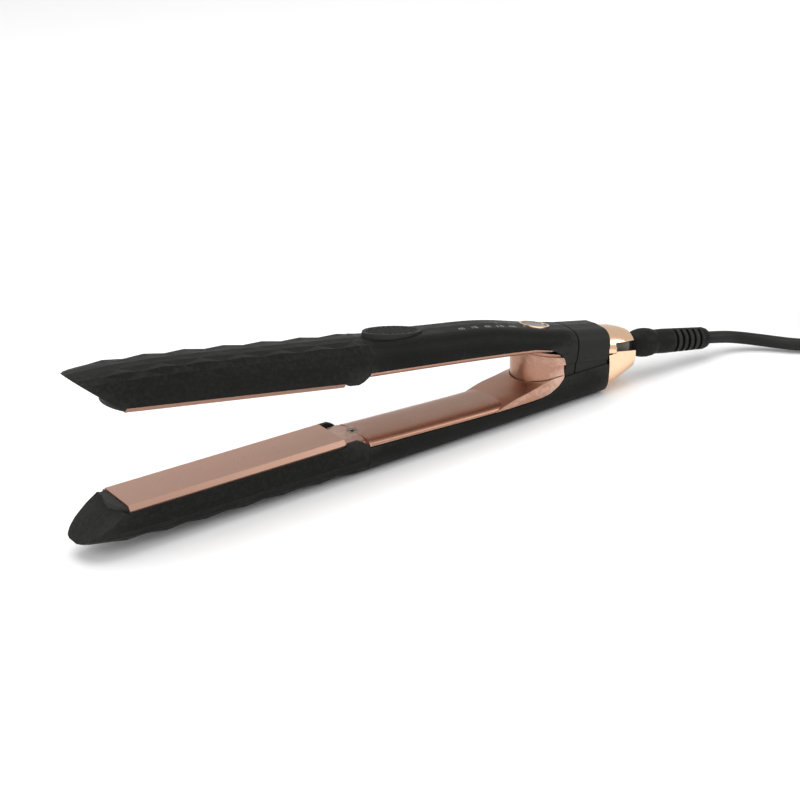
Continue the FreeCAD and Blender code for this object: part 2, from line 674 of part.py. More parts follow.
def control_board():
    board = box(BOARD_X[0], BOARD_X[1], -8.0, 8.0, BOARD_TOP - 1.6, BOARD_TOP)
    for x, y, length, width, height in ((-98, 5.0, 6, 4, 1.2), (-76, -5.2, 7, 4, 1.4), (-60, 5.2, 8, 4, 1.2)):
        board = board.fuse(box(x, x + length, y - width / 2, y + width / 2, BOARD_TOP, BOARD_TOP + height))
    for x in (BOARD_X[0] + 3, BOARD_X[1] - 3):
        board = board.cut(cylinder(1.1, Vector(x, 0, 5), Vector(x, 0, 20)))
    return board


def board_screws():
    screws = []
    for x in (BOARD_X[0] + 3, BOARD_X[1] - 3):
        head = cylinder(2.0, Vector(x, 0, BOARD_TOP - 2.8), Vector(x, 0, BOARD_TOP - 1.6))
        screws.append(head.fuse(cylinder(1.1, Vector(x, 0, BOARD_TOP - 1.7), Vector(x, 0, BOARD_TOP + 2.6))))
    return Part.makeCompound(screws)


def board_posts():
    """Posts down from the upper shell that the board is screwed to."""
    posts = []
    for x in (BOARD_X[0] + 3, BOARD_X[1] - 3):
        post = cylinder(2.4, Vector(x, 0, BOARD_TOP), Vector(x, 0, crown_depth(x) - 0.6))
        posts.append(post.cut(cylinder(1.1, Vector(x, 0, 5), Vector(x, 0, BOARD_TOP + 2.6))))
    return posts


def indicator_leds():
    return Part.makeCompound([box(x - 1.0, x + 1.0, -0.6, 0.6, BOARD_TOP, BOARD_TOP + 0.7) for x in LENS_XS])


def light_pipes():
    pipes = [cylinder(0.9, Vector(x, 0, BOARD_TOP + 0.9), Vector(x, 0, crown_depth(x) + 0.35))
             for x in LENS_XS]
    return Part.makeCompound(pipes)


THUMB_REST_X = (-142.4, -110.0)
THUMB_REST_WIDTH = 14.0


def thumb_rest():
    """Oval grip pad, steep towards the tip and almost flush towards the hinge."""
    length = THUMB_REST_X[1] - THUMB_REST_X[0]
    pad = oval_prism(length, THUMB_REST_WIDTH, 19.2, 24)
    pad.translate(Vector(sum(THUMB_REST_X) / 2.0, 0, 0))
    above = side_prism([(-150, 21.3), (-138, 21.9), (-104, 20.75), (-100, 20.6), (-100, 30), (-150, 30)], 20)
    return pad.cut(above)


# ------------------------------------------------------------------ leads inside the arms
LEAD_RADIUS = 0.9


def lead_pair(points, half_spacing):
    """Two insulated leads along the same run of points (x, z), one each side of the middle."""
    leads = []
    for y in (-half_spacing, half_spacing):
        solid = None
        for (x0, z0), (x1, z1) in zip(points, points[1:]):
            run = cylinder(LEAD_RADIUS, Vector(x0, y, z0), Vector(x1, y, z1))
            if solid is None:
                solid = run
            else:
                solid = solid.fuse(run).fuse(Part.makeSphere(LEAD_RADIUS, Vector(x0, y, z0)))
        leads.append(solid)
    return Part.makeCompound(leads)


# ------------------------------------------------------------------ the sub-parts of each arm
def upper_shell_shape():
    shell = shell_with_cavity(crown_depth, SHELL_REAR_UPPER, 0.4, SHELL_REAR_UPPER + 2)
    lobes = skirt(-29.6, SHELL_REAR_UPPER)
    shell = shell.fuse(lobes)
    for piece in pad_ribs(crown_depth) + [screw_post(crown_depth)] + board_posts():
        shell = shell.fuse(piece)
    shell = shell.cut(rim_cutter(True))
    shell = shell.cut(band_taper(-29.7, SHELL_REAR_UPPER + 1))
    shell = shell.cut(on_crown(oval_prism(BEZEL_LENGTH, BEZEL_WIDTH, -6, 6)))
    for solid in light_pipes().Solids + board_screws().Solids + [thumb_rest(), tip_cap_shape()]:
        shell = shell.cut(solid)
    return shell


def hinge_cover():
    """Upper half of the band between the upper shell and the collar."""
    stations = [COVER_FRONT_UPPER, -14, BAND_REAR]
    outside = smooth_loft(stations, crown_depth, crown_rise=0.4)
    inside = smooth_loft([COVER_FRONT_UPPER - 2, -14, BAND_REAR + 2], crown_depth, WALL, 0.4, top=-1.0)
    band = outside.cut(inside).fuse(skirt(COVER_FRONT_UPPER, BAND_REAR))
    return band.cut(band_taper(COVER_FRONT_UPPER - 1, BAND_REAR + 1))


def lower_shell_shape():
    """Drawn with z down into the arm."""
    shell = shell_with_cavity(belly_depth, BAND_REAR, 0.0, BAND_REAR + 2)
    room = box(-54.0, BAND_REAR + 1, -SKIRT_HALF_WIDTH - 0.4, SKIRT_HALF_WIDTH + 0.4, -5, SKIRT_DEPTH + 0.6)
    room = room.fuse(box(-54.0, -29.0, -SKIRT_HALF_WIDTH - 0.4, SKIRT_HALF_WIDTH + 0.4, -5, 13.0))
    shell = shell.cut(room)
    for piece in pad_ribs(belly_depth) + [screw_post(belly_depth), spring_post()]:
        shell = shell.fuse(piece)
    rear = BAND_REAR + 1
    below = [(-149.5, strip_depth(-149.5)), (rear, strip_depth(rear)), (rear, 40), (-149.5, 40)]
    return largest(shell.cut(rim_cutter(False)).cut(tip_cap_shape()).cut(side_prism(below, 30)))


SPRING_X = -38.0
SPRING_SEAT = 15.6
SPRING_TOP = -3.6           # under the boss with the arms open


def spring_post():
    post = cylinder(5.6, Vector(SPRING_X, 0, SPRING_SEAT), Vector(SPRING_X, 0, 30))
    inside = smooth_loft([-60, -40, -20], belly_depth, WALL - 0.3, top=-1.0)
    return post.common(inside)


def opening_spring():
    spring = coil_spring(4.4, 0.5, -SPRING_SEAT, SPRING_TOP, 4)
    spring.translate(Vector(SPRING_X, 0, 0))
    return spring


# ------------------------------------------------------------------ cord
# The free cord in the part's frame: from the strain relief over the bench to a tied hank in
# line with the iron, and from the hank's top layer down to the plug beyond it.
CORD_RADIUS = CORD_DIAMETER / 2.0
TIE_THICKNESS = 0.8
HANK_BOTTOM = TIE_THICKNESS + 0.2
HANK_LEFT = Vector(274.0, -25.5, 0)     # centre of the folds nearer to the iron
HANK_STRAIGHT = 40.0                    # between the centres of the two ends' folds
HANK_PITCH = 6.5
HANK_INNER_FOLD = 20.0
HANK_OUTER_FOLD = HANK_INNER_FOLD + HANK_PITCH
HANK_LAYERS = 4
HANK_TURNS = 7
FIRST_LAYER = HANK_BOTTOM + CORD_RADIUS
LAST_LAYER = FIRST_LAYER + HANK_PITCH * (HANK_LAYERS - 1)
HANK_NEAR_SIDE = HANK_LEFT.y - HANK_OUTER_FOLD
PLUG_HALF_THICKNESS = 6.9
ROUTE_TO_HANK = [(178.01, -6.68, 9.63), (188.8, -7.81, 7.8), (199.1, -12.8, 5.6), (207.7, -21.1, 4.1),
                 (215.8, -33.0, 3.5), (227.5, -44.5, 3.4), (244.0, -51.2, 3.9),
                 (HANK_LEFT.x - 6, HANK_NEAR_SIDE, FIRST_LAYER)]
ROUTE_TO_PLUG = [(HANK_LEFT.x + HANK_STRAIGHT - 4, HANK_NEAR_SIDE, LAST_LAYER), (334.0, -52.6, 23.2),
                 (352.0, -50.8, 18.4), (368.0, -46.8, 11.0), (382.0, -42.6, PLUG_HALF_THICKNESS + 0.4),
                 (394.0, -40.4, PLUG_HALF_THICKNESS)]


def cord_tube(route, label):
    """Tube of straight runs joined by tangent arcs; prints each arc's radius."""
    points = [Vector(*point) for point in route]
    edges = []
    radii = []
    start = points[0]
    for before, corner, after in zip(points, points[1:], points[2:]):
        back = (before - corner).normalize()
        ahead = (after - corner).normalize()
        turn = math.pi - back.getAngle(ahead)
        shorter = min((before - corner).Length, (after - corner).Length)
        radius = 0.45 * shorter / math.tan(turn / 2)
        into = corner + back * (0.45 * shorter)
        out = corner + ahead * (0.45 * shorter)
        bisector = (back + ahead).normalize()
        middle = corner + bisector * (radius / math.cos(turn / 2) - radius)
        edges += [Part.makeLine(start, into), Part.Arc(into, middle, out).toShape()]
        radii.append(radius)
        start = out
    edges.append(Part.makeLine(start, points[-1]))
    path = Part.Wire(edges)
    profile = Part.Wire([Part.makeCircle(CORD_RADIUS, points[0], points[1] - points[0])])
    tube = path.makePipeShell([profile], True, False)
    print("%s: length %.1f, volume over section x length %.4f, radii %s" % (
        label, path.Length, tube.Volume / (math.pi * CORD_RADIUS ** 2 * path.Length),
        " ".join("%.0f" % radius for radius in radii)))
    return tube


def power_cord():
    return Part.makeCompound([cord_tube(ROUTE_TO_HANK, "lead to the hank"),
                              cord_tube(ROUTE_TO_PLUG, "lead to the plug")])


def long_oval(radius, bottom, top):
    """Prism with straight sides along x and a half round at each end."""
    left = HANK_LEFT + Vector(0, 0, bottom)
    right = left + Vector(HANK_STRAIGHT, 0, 0)
    middle = box(left.x, right.x, left.y - radius, left.y + radius, bottom, top)
    ends = [Part.makeCylinder(radius, top - bottom, centre) for centre in (left, right)]
    return middle.fuse(ends[0]).fuse(ends[1]).removeSplitter()


def cord_hank():
    """Outer shape of the folded hank."""
    top = LAST_LAYER + CORD_RADIUS
    outside = long_oval(HANK_OUTER_FOLD + CORD_RADIUS, HANK_BOTTOM, top)
    mean_turn = 2 * HANK_STRAIGHT + math.pi * (HANK_INNER_FOLD + HANK_OUTER_FOLD)
    print("cord in the hank: %.0f" % (HANK_TURNS * mean_turn))
    return outside.cut(long_oval(HANK_INNER_FOLD - CORD_RADIUS, HANK_BOTTOM, top))


def cord_tie():
    """Strap round the middle of the hank."""
    centre = HANK_LEFT + Vector(HANK_STRAIGHT / 2, 0, 0)
    side = HANK_OUTER_FOLD + CORD_RADIUS + 0.1
    top = LAST_LAYER + CORD_RADIUS + 0.1
    strap = box(-4.5, 4.5, -side - TIE_THICKNESS, side + TIE_THICKNESS, 0.05, top + TIE_THICKNESS)
    strap = strap.cut(box(-9, 9, -side, side, 0.05 + TIE_THICKNESS, top))
    strap.translate(centre)
    return strap


PLUG_START = Vector(*ROUTE_TO_PLUG[-1])
PLUG_BODY_WIDTH = 26.0
PLUG_SLEEVE = 15.0
PLUG_LENGTH = 35.0
PIN_SPACING = 18.6
PLUG_PIN_RADIUS = 2.0
PLUG_PIN_LENGTH = 19.0


def plug_direction():
    return (PLUG_START - Vector(*ROUTE_TO_PLUG[-2])).normalize()


def plug_body():
    """Flat two-pin plug with a tapered sleeve over the lead."""
    sleeve = Part.makeCone(4.2, 5.4, PLUG_SLEEVE + 2, PLUG_START, plug_direction())
    x0 = PLUG_START.x + PLUG_SLEEVE
    y0 = PLUG_START.y + 2.4
    full = (PLUG_BODY_WIDTH / 2, PLUG_HALF_THICKNESS - 0.1)
    wires = []
    for x, (half_width, half_height) in ((x0, (7.0, 5.6)), (x0 + 10, full), (x0 + PLUG_LENGTH, full)):
        corner = 3.5
        outline = [(half_width, half_height - corner), (half_width - corner, half_height)]
        outline += [(-y, z) for y, z in reversed(outline)]
        outline += [(y, -z) for y, z in reversed(outline)]
        points = [Vector(x, y0 + y, PLUG_HALF_THICKNESS + z) for y, z in outline]
        wires.append(Part.makePolygon(points + [points[0]]))
    return sleeve.fuse(Part.makeLoft(wires, True, True))


def plug_pins():
    x0 = PLUG_START.x + PLUG_SLEEVE + PLUG_LENGTH
    pins = []
    for side in (-1, 1):
        foot = Vector(x0, PLUG_START.y + 2.4 + side * PIN_SPACING / 2, PLUG_HALF_THICKNESS)
        pin = Part.makeCylinder(PLUG_PIN_RADIUS, PLUG_PIN_LENGTH, foot, Vector(1, 0, 0))
        tip = [edge for edge in pin.Edges if edge.CenterOfMass.x > x0 + PLUG_PIN_LENGTH - 0.1 and edge.Closed]
        pins.append(pin.makeFillet(1.0, tip[:1]))
    return Part.makeCompound(pins)


# ------------------------------------------------------------------ writing the sub-parts
def write_lower_arm():
    lower = {
        "lower_shell": lower_shell_shape(),
        "lower_inner_cover": lower_cover_shape(),
        "lower_tip_cap": tip_cap_shape(),
        "lower_cover_screw": cover_screw(),
        "lower_plate": plate_shape(),
        "lower_heater": heater_shape(),
        "lower_plate_carrier": carrier_shape(),
        "lower_plate_pads": pads_shape(),
        "lower_heater_leads": lead_pair(LOWER_LEADS, 7.6),
    }
    for name, shape in lower.items():
        write(name, mirrored(shape))


def write_hinge():
    lower_edge = side_prism(LOWER_COLLAR_EDGE, 20)
    write("lower_collar", collar_ring().common(lower_edge))
    write("lower_hinge_bracket", lower_bracket())
    write("hinge_pin", cylinder(PIN_RADIUS, Vector(0, -10.6, PIVOT_HEIGHT), Vector(0, 10.6, PIVOT_HEIGHT)))
    washers = []
    for y in (-8.5, 7.9):
        start, end = Vector(0, y, PIVOT_HEIGHT), Vector(0, y + 0.6, PIVOT_HEIGHT)
        washers.append(cylinder(3.8, start, end).cut(cylinder(PIN_RADIUS, start, end)))
    write("hinge_washers", Part.makeCompound(washers))
    write("opening_spring", opening_spring())
    write("swivel_core", swivel_core())
    write("strain_relief", strain_relief())
    write("swivel_retainer", swivel_retainer())


def write_upper_arm():
    upper_edge = side_prism(UPPER_COLLAR_EDGE, 20)
    upper = {
        "upper_shell": upper_shell_shape(),
        "hinge_cover": hinge_cover(),
        "upper_inner_cover": upper_cover_shape(),
        "upper_tip_cap": tip_cap_shape(),
        "upper_cover_screw": cover_screw(),
        "upper_collar": collar_ring().common(upper_edge),
        "upper_hinge_bracket": upper_bracket(),
        "upper_plate": plate_shape(),
        "upper_heater": heater_shape(),
        "upper_plate_carrier": carrier_shape(),
        "upper_plate_pads": pads_shape(),
        "upper_heater_leads": lead_pair(UPPER_LEADS, 5.0),
        "thumb_rest": thumb_rest(),
        "button_bezel": button_bezel(),
        "power_button": power_button(),
        "tact_switch": tact_switch(),
        "control_board": control_board(),
        "board_screws": board_screws(),
        "indicator_leds": indicator_leds(),
        "indicator_light_pipes": light_pipes(),
    }
    for name, shape in upper.items():
        write(name, shape, upper=True)


def write_cord():
    cord = {
        "power_cord": power_cord(),
        "cord_hank": cord_hank(),
        "cord_tie": cord_tie(),
        "plug_body": plug_body(),
        "plug_pins": plug_pins(),
    }
    for name, shape in cord.items():
        write(name, shape, placed=True)


# Runs of the leads as (x, z): from the heater's rear end to the board, and to the hinge.
UPPER_LEADS = [(-159.0, 6.5), (-157.5, 6.8), (-154.0, 8.9), (-118.0, 9.4), (-95.0, 9.4)]
LOWER_LEADS = [(-159.0, 6.5), (-157.5, 6.8), (-154.0, 9.8), (-120.0, 12.0), (-56.0, 13.6), (-24.0, 13.4)]

os.makedirs("parts", exist_ok=True)
write_lower_arm()
write_hinge()
write_upper_arm()
write_cord()
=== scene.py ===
import json
import math

import bpy
from mathutils import Matrix, Vector


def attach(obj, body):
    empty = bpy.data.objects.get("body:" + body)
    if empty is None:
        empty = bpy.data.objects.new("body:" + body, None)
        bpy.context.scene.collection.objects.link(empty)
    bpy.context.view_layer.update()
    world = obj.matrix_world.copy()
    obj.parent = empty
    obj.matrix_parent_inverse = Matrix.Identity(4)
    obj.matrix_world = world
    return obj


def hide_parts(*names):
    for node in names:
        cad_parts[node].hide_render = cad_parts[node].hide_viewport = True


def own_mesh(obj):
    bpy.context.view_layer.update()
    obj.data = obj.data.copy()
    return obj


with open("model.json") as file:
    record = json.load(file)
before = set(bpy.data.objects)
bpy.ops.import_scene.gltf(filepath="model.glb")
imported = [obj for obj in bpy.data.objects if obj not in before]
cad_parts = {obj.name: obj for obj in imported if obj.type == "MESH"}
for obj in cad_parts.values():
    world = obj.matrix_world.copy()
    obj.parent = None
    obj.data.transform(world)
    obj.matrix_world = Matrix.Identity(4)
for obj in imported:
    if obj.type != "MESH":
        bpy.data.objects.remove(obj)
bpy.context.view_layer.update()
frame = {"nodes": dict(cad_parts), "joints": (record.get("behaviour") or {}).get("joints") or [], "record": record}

# Flat iron, metres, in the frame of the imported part: +X from the tips to the cord, +Z up.
MM = 0.001
NODES = frame["nodes"]

# ------------------------------------------------------------------ where things are
HINGE = Vector(next(j for j in frame["joints"] if j["name"] == "arm_hinge")["pos_m"])
UPPER_TILT = math.radians(10.1)      # upper arm's own axis above the bench's
PIVOT_HEIGHT = 2.4 * MM              # hinge axis above the plates' meeting plane


def upper_point(along, across, above):
    """Point of the upper arm: along from the hinge axis, across, above its contact plane."""
    x, z = along, above - PIVOT_HEIGHT
    c, s = math.cos(UPPER_TILT), math.sin(UPPER_TILT)
    return HINGE + Vector((x * c + z * s, across, -x * s + z * c))


def on_surface(node, along, across, lift):
    """Point that stands lift above the node's outside, found straight down the arm's own vertical."""
    piece = NODES[node]
    inverse = piece.matrix_world.inverted()
    start = upper_point(along, across, 40 * MM)
    down = upper_point(along, across, 0) - start
    hit, point, _, _ = piece.ray_cast(inverse @ start, inverse.to_3x3() @ down)
    if not hit:
        return None
    return piece.matrix_world @ point - down.normalized() * lift


# ------------------------------------------------------------------ camera
SENSOR_WIDTH, LENS = 36.0, 90.0
CAMERA_AT = Vector((-0.4681, -0.7287, 0.4013))
CAMERA_RIGHT = Vector((0.8304, -0.5543, -0.0555))
CAMERA_BACK = Vector((-0.4904, -0.7746, 0.3994))


def add_camera():
    data = bpy.data.cameras.new("camera")
    data.sensor_width = SENSOR_WIDTH
    data.lens = LENS
    data.clip_end = 20.0
    camera = bpy.data.objects.new("camera", data)
    bpy.context.scene.collection.objects.link(camera)
    right = CAMERA_RIGHT.normalized()
    back = CAMERA_BACK.normalized()
    up = back.cross(right).normalized()
    right = up.cross(back)
    matrix = Matrix((right, up, back)).transposed().to_4x4()
    matrix.translation = CAMERA_AT
    camera.matrix_world = matrix
    bpy.context.scene.camera = camera


add_camera()

# ------------------------------------------------------------------ cord
CORD_DIAMETER = 6.4 * MM
HANK_LEFT = Vector((274.0, -25.5, 0.0))
HANK_STRAIGHT = 40.0
HANK_INNER_FOLD, HANK_PITCH = 20.0, 6.5
FIRST_LAYER = 4.2
HANK_SLOTS = [(1, 0), (0, 0), (0, 1), (1, 1), (1, 2), (0, 2), (0, 3), (1, 3)]   # row and layer per turn
ROUTE_TO_HANK = [(177.65, -6.65, 9.69), (188.8, -7.81, 7.8), (199.1, -12.8, 5.6), (207.7, -21.1, 4.1),
                 (215.8, -33.0, 3.5), (227.5, -44.5, 3.4), (244.0, -51.2, 3.9), (268.0, -52.0, 4.2)]
ROUTE_TO_PLUG = [(310.0, -52.0, 23.7), (334.0, -52.6, 23.2), (352.0, -50.8, 18.4), (368.0, -46.8, 11.0),
                 (382.0, -42.6, 7.3), (394.0, -40.4, 6.9)]


def hank_point(share, radius, height):
    """Point of one turn: share 0 to 1 runs out along the near side, round, back and round."""
    straight, fold = 0.19, 0.31
    right = HANK_LEFT + Vector((HANK_STRAIGHT, 0, 0))
    if share < straight:
        flat = HANK_LEFT + Vector((HANK_STRAIGHT * share / straight, -radius, 0))
    elif share < 0.5:
        angle = math.pi * ((share - straight) / fold - 0.5)
        flat = right + Vector((radius * math.cos(angle), radius * math.sin(angle), 0))
    elif share < 0.5 + straight:
        flat = right + Vector((-HANK_STRAIGHT * (share - 0.5) / straight, radius, 0))
    else:
        angle = math.pi * ((share - 0.5 - straight) / fold + 0.5)
        flat = HANK_LEFT + Vector((radius * math.cos(angle), radius * math.sin(angle), 0))
    return flat + Vector((0, 0, height))


def hank_turns():
    """Control points of the folded turns; each turn moves to its next slot late in its round."""
    points = []
    steps = 20
    for turn, (slot, after) in enumerate(zip(HANK_SLOTS, HANK_SLOTS[1:])):
        shift_start = 0.80 - 0.05 * turn
        for i in range(steps):
            share = (i + 0.5) / steps
            moved = min(1.0, max(0.0, (share - shift_start) / 0.18))
            row = slot[0] + (after[0] - slot[0]) * moved
            layer = slot[1] + (after[1] - slot[1]) * moved
            radius = HANK_INNER_FOLD + HANK_PITCH * row
            points.append(hank_point(share, radius, FIRST_LAYER + HANK_PITCH * layer))
    return points


def curve_mesh(holder, name):
    """Mesh of the curve as it is now: its bare line, or its tube once it has a bevel."""
    bpy.context.view_layer.update()
    evaluated = holder.evaluated_get(bpy.context.evaluated_depsgraph_get())
    mesh = bpy.data.meshes.new_from_object(evaluated)
    mesh.name = name
    return mesh


def add_cord():
    points = [Vector(p) for p in ROUTE_TO_HANK] + hank_turns()
    points.append(hank_point(0.02, HANK_INNER_FOLD + HANK_PITCH, FIRST_LAYER + 3 * HANK_PITCH))
    points += [Vector(p) for p in ROUTE_TO_PLUG]
    curve = bpy.data.curves.new("lead_line", "CURVE")
    curve.dimensions = "3D"
    curve.bevel_resolution = 6
    curve.resolution_u = 8
    curve.use_fill_caps = True
    spline = curve.splines.new("NURBS")
    spline.points.add(len(points) - 1)
    for target, point in zip(spline.points, points):
        target.co = (*(point * MM), 1.0)
    spline.order_u = 3
    spline.use_endpoint_u = True
    holder = bpy.data.objects.new("lead_line", curve)
    bpy.context.scene.collection.objects.link(holder)
    centreline = curve_mesh(holder, "lead_path")
    curve.bevel_depth = CORD_DIAMETER / 2
    lead = bpy.data.objects.new("mains_lead", curve_mesh(holder, "mains_lead"))
    lead.data.shade_smooth()
    bpy.context.scene.collection.objects.link(lead)
    bpy.data.objects.remove(holder)
    bpy.data.curves.remove(curve)
    bpy.data.meshes.remove(centreline)
    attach(lead, "lower_arm")
    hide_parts("power_cord", "cord_hank")
    return lead


LEAD = add_cord()


# ------------------------------------------------------------------ material building blocks
class Graph:
    """A material's node tree with short helpers."""

    def __init__(self, name):
        self.material = bpy.data.materials.new(name)
        self.material.use_nodes = True
        self.tree = self.material.node_tree
        self.shader = self.tree.nodes["Principled BSDF"]
        self.coords = self.tree.nodes.new("ShaderNodeTexCoord").outputs["Object"]

    def node(self, kind, **settings):
        made = self.tree.nodes.new(kind)
        for key, value in settings.items():
            setattr(made, key, value)
        return made

    def link(self, source, target):
        self.tree.links.new(source, target)

    def mapped(self, scale, turn=(0, 0, 0)):
        mapping = self.node("ShaderNodeMapping")
        mapping.inputs["Scale"].default_value = scale
        mapping.inputs["Rotation"].default_value = turn
        self.link(self.coords, mapping.inputs["Vector"])
        return mapping.outputs["Vector"]

    def noise(self, scale, detail=3.0, stretch=(1, 1, 1), roughness=0.55):
        made = self.node("ShaderNodeTexNoise")
        made.inputs["Scale"].default_value = scale
        made.inputs["Detail"].default_value = detail
        made.inputs["Roughness"].default_value = roughness
        self.link(self.mapped(stretch), made.inputs["Vector"])
        return made.outputs["Fac"]

    def ranged(self, value, low, high, start=0.3, end=0.7):
        made = self.node("ShaderNodeMapRange")
        for key, number in (("From Min", start), ("From Max", end), ("To Min", low), ("To Max", high)):
            made.inputs[key].default_value = number
        self.link(value, made.inputs["Value"])
        return made.outputs["Result"]

    def maths(self, operation, a, b):
        made = self.node("ShaderNodeMath", operation=operation)
        for slot, value in zip(made.inputs, (a, b)):
            if isinstance(value, (int, float)):
                slot.default_value = value
            else:
                self.link(value, slot)
        return made.outputs["Value"]

    def mix(self, share, first, second):
        made = self.node("ShaderNodeMix", data_type="RGBA")
        self.link(share, made.inputs["Factor"])
        for slot, colour in ((made.inputs[6], first), (made.inputs[7], second)):
            if isinstance(colour, tuple):
                slot.default_value = (*colour, 1)
            else:
                self.link(colour, slot)
        return made.outputs[2]

    def bump(self, height, strength, distance):
        made = self.node("ShaderNodeBump")
        made.inputs["Strength"].default_value = strength
        made.inputs["Distance"].default_value = distance
        self.link(height, made.inputs["Height"])
        self.link(made.outputs["Normal"], self.shader.inputs["Normal"])

    def edge_wear(self, low=0.52, high=0.60):
        """Bright on convex edges, broken up by noise."""
        point = self.node("ShaderNodeNewGeometry").outputs["Pointiness"]
        rough = self.ranged(self.noise(600, 4), -0.03, 0.03)
        return self.ranged(self.maths("ADD", point, rough), 0.0, 1.0, low, high)

    def set(self, **values):
        for key, value in values.items():
            self.shader.inputs[key.replace("_", " ")].default_value = value


def scuffed(graph, colour, deeper, lighter, rough_low, rough_high, patch=35):
    """Base colour that drifts in soft patches, with roughness that follows fingerprints."""
    patches = graph.noise(patch, 4)
    tone = graph.mix(graph.ranged(patches, 0, 1), deeper, colour)
    worn = graph.mix(graph.edge_wear(), tone, lighter)
    graph.link(worn, graph.shader.inputs["Base Color"])
    prints = graph.noise(140, 5, (1, 1.7, 1))
    graph.link(graph.ranged(prints, rough_low, rough_high), graph.shader.inputs["Roughness"])


def soft_touch_black():
    g = Graph("soft_touch_black")
    scuffed(g, (0.0078, 0.0082, 0.0073), (0.0060, 0.0064, 0.0056), (0.020, 0.021, 0.019), 0.40, 0.52)
    g.bump(g.maths("ADD", g.noise(5200, 2), g.maths("MULTIPLY", g.noise(700, 2), 0.6)), 0.10, 0.00004)
    g.set(Specular_IOR_Level=0.08, Sheen_Weight=0.01, Sheen_Roughness=0.5)
    return g.material


def tip_black():
    g = Graph("tip_black")
    scuffed(g, (0.011, 0.012, 0.011), (0.008, 0.009, 0.008), (0.030, 0.031, 0.029), 0.44, 0.60)
    g.bump(g.noise(3800, 3), 0.14, 0.00005)
    g.set(Specular_IOR_Level=0.10)
    return g.material


def rose_paint():
    """Metallic paint: fine flakes under a thin satin coat."""
    g = Graph("rose_paint")
    flakes = g.node("ShaderNodeTexVoronoi")
    flakes.inputs["Scale"].default_value = 3600
    g.link(g.coords, flakes.inputs["Vector"])
    sparkle = g.ranged(flakes.outputs["Distance"], 0, 1, 0.1, 0.8)
    tone = g.mix(sparkle, (0.445, 0.245, 0.172), (0.350, 0.180, 0.118))
    worn = g.mix(g.edge_wear(0.53, 0.62), tone, (0.58, 0.38, 0.30))
    g.link(worn, g.shader.inputs["Base Color"])
    g.link(g.ranged(g.noise(90, 4), 0.27, 0.36), g.shader.inputs["Roughness"])
    grain = g.maths("MULTIPLY", flakes.outputs["Distance"], 0.25)
    g.bump(g.maths("ADD", grain, g.noise(900, 2)), 0.06, 0.00005)
    g.set(Metallic=0.86, Coat_Weight=0.18, Coat_Roughness=0.22)
    return g.material


def plate_coating():
    """Ceramic-coated aluminium with faint lengthwise lines and light wear."""
    g = Graph("plate_coating")
    lines = g.noise(420, 4, (0.03, 1, 1), 0.7)
    tone = g.mix(g.ranged(lines, 0, 1, 0.25, 0.75), (0.285, 0.125, 0.070), (0.365, 0.172, 0.104))
    worn = g.mix(g.edge_wear(0.53, 0.60), tone, (0.52, 0.31, 0.23))
    g.link(worn, g.shader.inputs["Base Color"])
    scratches = g.noise(150, 6, (0.12, 1, 1), 0.75)
    g.link(g.ranged(scratches, 0.25, 0.38), g.shader.inputs["Roughness"])
    g.bump(g.maths("ADD", lines, g.noise(2500, 2)), 0.05, 0.00003)
    g.set(Metallic=0.80, Coat_Weight=0.12, Coat_Roughness=0.15)
    return g.material


def rose_plating():
    g = Graph("rose_plating")
    tone = g.mix(g.ranged(g.noise(60, 4), 0, 1), (0.93, 0.61, 0.40), (0.99, 0.70, 0.48))
    g.link(tone, g.shader.inputs["Base Color"])
    g.link(g.ranged(g.noise(260, 5), 0.10, 0.20), g.shader.inputs["Roughness"])
    g.bump(g.noise(520, 3), 0.03, 0.00003)
    g.set(Metallic=1.0)
    return g.material


def button_gloss():
    g = Graph("button_gloss")
    scuffed(g, (0.016, 0.014, 0.014), (0.011, 0.010, 0.010), (0.05, 0.045, 0.042), 0.20, 0.34, 120)
    g.bump(g.noise(1500, 2), 0.05, 0.00003)
    g.set(Coat_Weight=0.4, Coat_Roughness=0.12)
    return g.material


def screw_black():
    g = Graph("screw_black")
    scuffed(g, (0.035, 0.030, 0.029), (0.020, 0.018, 0.018), (0.35, 0.31, 0.28), 0.25, 0.45, 400)
    g.bump(g.noise(3000, 3), 0.12, 0.00004)
    g.set(Metallic=0.9)
    return g.material


def relief_rubber():
    g = Graph("relief_rubber")
    scuffed(g, (0.0090, 0.0093, 0.0086), (0.0068, 0.0070, 0.0065), (0.024, 0.025, 0.023), 0.42, 0.58)
    g.bump(g.maths("ADD", g.noise(2600, 3), g.noise(420, 2)), 0.12, 0.00006)
    g.set(Specular_IOR_Level=0.11)
    return g.material


def lead_rubber():
    """Jacket of the lead: fine grain in its surface, dust in patches."""
    g = Graph("lead_rubber")
    dust = g.ranged(g.noise(45, 5), 0, 1, 0.45, 0.75)
    tone = g.mix(dust, (0.0125, 0.0128, 0.0120), (0.0210, 0.0212, 0.0200))
    g.link(tone, g.shader.inputs["Base Color"])
    g.link(g.ranged(g.noise(320, 5), 0.36, 0.52), g.shader.inputs["Roughness"])
    g.bump(g.maths("ADD", g.noise(1800, 3), g.noise(240, 2)), 0.10, 0.00006)
    g.set(Specular_IOR_Level=0.16)
    return g.material


def plug_plastic():
    g = Graph("plug_plastic")
    scuffed(g, (0.014, 0.014, 0.014), (0.010, 0.010, 0.010), (0.05, 0.05, 0.05), 0.28, 0.42, 60)
    g.bump(g.noise(1700, 3), 0.10, 0.00005)
    return g.material


def brushed_metal(name, colour, rough, stretch=(0.1, 1, 1)):
    g = Graph(name)
    lines = g.noise(900, 4, stretch, 0.7)
    darker = tuple(c * 0.75 for c in colour)
    g.link(g.mix(g.ranged(lines, 0, 1), darker, colour), g.shader.inputs["Base Color"])
    g.link(g.ranged(g.noise(200, 4), rough, rough + 0.14), g.shader.inputs["Roughness"])
    g.bump(lines, 0.06, 0.00003)
    g.set(Metallic=1.0)
    return g.material


